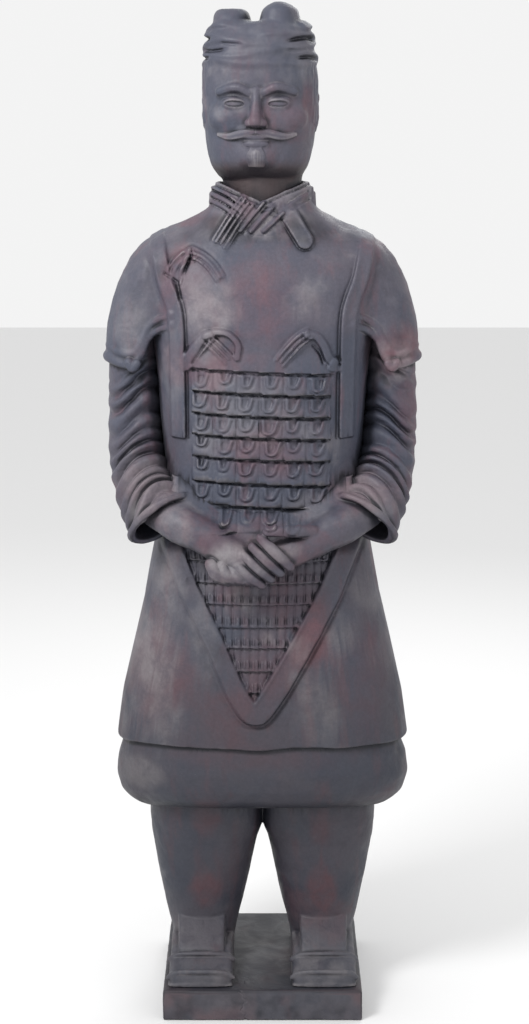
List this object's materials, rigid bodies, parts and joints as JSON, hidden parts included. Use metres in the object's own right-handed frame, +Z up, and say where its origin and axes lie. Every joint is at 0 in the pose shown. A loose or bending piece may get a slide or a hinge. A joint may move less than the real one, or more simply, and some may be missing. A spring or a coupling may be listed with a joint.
{
  "type": "terracotta warrior statue",
  "caption": "Life-size armoured warrior in fired clay, standing with folded hands on a square plinth, with layered robes, plated armour with a pointed apron, ribbons and a winged headcloth.",
  "frame": {"origin": "middle of the plinth's underside", "axes": "+Z up; -Y the way the figure faces; +X to the right as the viewer sees it, the figure's own left"},
  "size_m": [0.5694, 0.394, 1.8003],
  "materials": {
    "plinth_clay": "fired clay, slate violet with red-brown patches, matt",
    "figure_clay": "fired clay, slate violet with red-brown patches and blue-black hollows, matt to satin",
    "head_clay": "fired clay, slate violet, paler on the raised forms, brown-black at the neck, matt to satin"
  },
  "bodies": {
    "root": {"plinth": "plinth_clay", "figure": "figure_clay", "head": "head_clay"}
  },
  "joints": []
}
